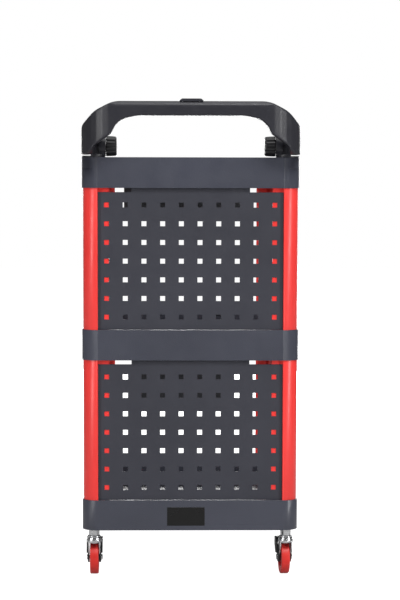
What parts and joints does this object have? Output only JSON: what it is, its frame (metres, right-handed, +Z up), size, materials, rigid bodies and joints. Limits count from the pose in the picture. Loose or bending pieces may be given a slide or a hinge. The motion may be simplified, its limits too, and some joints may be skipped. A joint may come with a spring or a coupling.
{
  "type": "rolling utility cart",
  "caption": "Tall rolling cart with stacked moulded trays on red corner posts, perforated end panels, a tilting push handle and swivel casters.",
  "frame": {"origin": "at floor level under the centre of the whole cart's bounding box", "axes": "+X across the cart to the right as seen from the handle end, +Y from the handle end to the far end, +Z up"},
  "size_m": [0.443, 0.8566, 0.9785],
  "materials": {
    "tray_plastic": "fine grained moulded plastic, slate grey",
    "panel_paint": "matt powder coat, dark slate",
    "red_paint": "semi-gloss powder coat, bright red",
    "holder_plastic": "fine grained moulded plastic",
    "handle_plastic": "satin moulded plastic, charcoal",
    "black_plastic": "satin black",
    "label_film": "blank film",
    "wheel_plastic": "moulded nylon, dark red",
    "wheel_tread": "cast polyurethane, red",
    "bearing_steel": "ground steel",
    "zinc_steel": "bright zinc plate"
  },
  "bodies": {
    "cart": {"top_tray": "tray_plastic", "mid_tray": "tray_plastic", "bottom_tray": "tray_plastic", "upper_panel": "panel_paint", "lower_panel": "panel_paint", "panel_nuts": "zinc_steel", "post_screws": "zinc_steel", "bracket_bolts": "zinc_steel", "stem_inserts": "zinc_steel", "caster_balls": "bearing_steel", "label_plate": "label_film", "can_rack": "holder_plastic", "utility_bin": "holder_plastic", "lower_post_front_left": "red_paint", "lower_post_front_right": "red_paint", "lower_post_rear_left": "red_paint", "lower_post_rear_right": "red_paint", "upper_post_front_left": "red_paint", "upper_post_front_right": "red_paint", "upper_post_rear_left": "red_paint", "upper_post_rear_right": "red_paint", "caster_stem_front_left": "zinc_steel", "caster_stem_front_right": "zinc_steel", "caster_stem_rear_left": "zinc_steel", "caster_stem_rear_right": "zinc_steel", "handle_bracket_left": "handle_plastic", "handle_bracket_right": "handle_plastic"},
    "handle": {"handle": "handle_plastic", "handle_cap": "handle_plastic", "handle_bolt_left": "zinc_steel", "handle_bolt_right": "zinc_steel"},
    "knob_left": {"handle_knob_left": "black_plastic"},
    "knob_right": {"handle_knob_right": "black_plastic"},
    "caster_front_left": {"caster_fork_front_left": "zinc_steel", "caster_axle_front_left": "zinc_steel", "brake_pin_front_left": "zinc_steel", "brake_shroud_front_left": "black_plastic"},
    "wheel_front_left": {"wheel_core_front_left": "wheel_plastic", "wheel_tyre_front_left": "wheel_tread", "wheel_bush_front_left": "bearing_steel"},
    "brake_left": {"brake_pedal_front_left": "black_plastic"},
    "caster_front_right": {"caster_fork_front_right": "zinc_steel", "caster_axle_front_right": "zinc_steel", "brake_pin_front_right": "zinc_steel", "brake_shroud_front_right": "black_plastic"},
    "wheel_front_right": {"wheel_core_front_right": "wheel_plastic", "wheel_tyre_front_right": "wheel_tread", "wheel_bush_front_right": "bearing_steel"},
    "brake_right": {"brake_pedal_front_right": "black_plastic"},
    "caster_rear_left": {"caster_fork_rear_left": "zinc_steel", "caster_axle_rear_left": "zinc_steel"},
    "wheel_rear_left": {"wheel_core_rear_left": "wheel_plastic", "wheel_tyre_rear_left": "wheel_tread", "wheel_bush_rear_left": "bearing_steel"},
    "caster_rear_right": {"caster_fork_rear_right": "zinc_steel", "caster_axle_rear_right": "zinc_steel"},
    "wheel_rear_right": {"wheel_core_rear_right": "wheel_plastic", "wheel_tyre_rear_right": "wheel_tread", "wheel_bush_rear_right": "bearing_steel"}
  },
  "joints": [
    {"name": "handle_tilt", "type": "hinge", "parent": "cart", "child": "handle", "pos_m": [0, -0.33825, 0.8848], "axis": [1, 0, 0], "range_deg": [-120, 0]},
    {"name": "knob_left_turn", "type": "hinge", "parent": "handle", "child": "knob_left", "pos_m": [-0.16, -0.33825, 0.8848], "axis": [1, 0, 0], "range_deg": [0, 360]},
    {"name": "knob_right_turn", "type": "hinge", "parent": "handle", "child": "knob_right", "pos_m": [0.16, -0.33825, 0.8848], "axis": [-1, 0, 0], "range_deg": [0, 360]},
    {"name": "caster_swivel_front_left", "type": "hinge", "parent": "cart", "child": "caster_front_left", "pos_m": [-0.198, -0.33025, 0.0791], "axis": [0, 0, 1], "continuous": true},
    {"name": "wheel_spin_front_left", "type": "hinge", "parent": "caster_front_left", "child": "wheel_front_left", "pos_m": [-0.198, -0.30625, 0.035], "axis": [1, 0, 0], "continuous": true},
    {"name": "brake_press_left", "type": "hinge", "parent": "caster_front_left", "child": "brake_left", "pos_m": [-0.198, -0.28425, 0.069], "axis": [-1, 0, 0], "range_deg": [0, 12]},
    {"name": "caster_swivel_front_right", "type": "hinge", "parent": "cart", "child": "caster_front_right", "pos_m": [0.198, -0.33025, 0.0791], "axis": [0, 0, 1], "continuous": true},
    {"name": "wheel_spin_front_right", "type": "hinge", "parent": "caster_front_right", "child": "wheel_front_right", "pos_m": [0.19633, -0.30631, 0.035], "axis": [0.9976, 0.0698, 0], "continuous": true},
    {"name": "brake_press_right", "type": "hinge", "parent": "caster_front_right", "child": "brake_right", "pos_m": [0.19479, -0.28436, 0.069], "axis": [-0.9976, -0.0698, 0], "range_deg": [0, 12]},
    {"name": "caster_swivel_rear_left", "type": "hinge", "parent": "cart", "child": "caster_rear_left", "pos_m": [-0.198, 0.30575, 0.0791], "axis": [0, 0, 1], "continuous": true},
    {"name": "wheel_spin_rear_left", "type": "hinge", "parent": "caster_rear_left", "child": "wheel_rear_left", "pos_m": [-0.198, 0.32975, 0.035], "axis": [1, 0, 0], "continuous": true},
    {"name": "caster_swivel_rear_right", "type": "hinge", "parent": "cart", "child": "caster_rear_right", "pos_m": [0.198, 0.30575, 0.0791], "axis": [0, 0, 1], "continuous": true},
    {"name": "wheel_spin_rear_right", "type": "hinge", "parent": "caster_rear_right", "child": "wheel_rear_right", "pos_m": [0.198, 0.32975, 0.035], "axis": [1, 0, 0], "continuous": true}
  ]
}
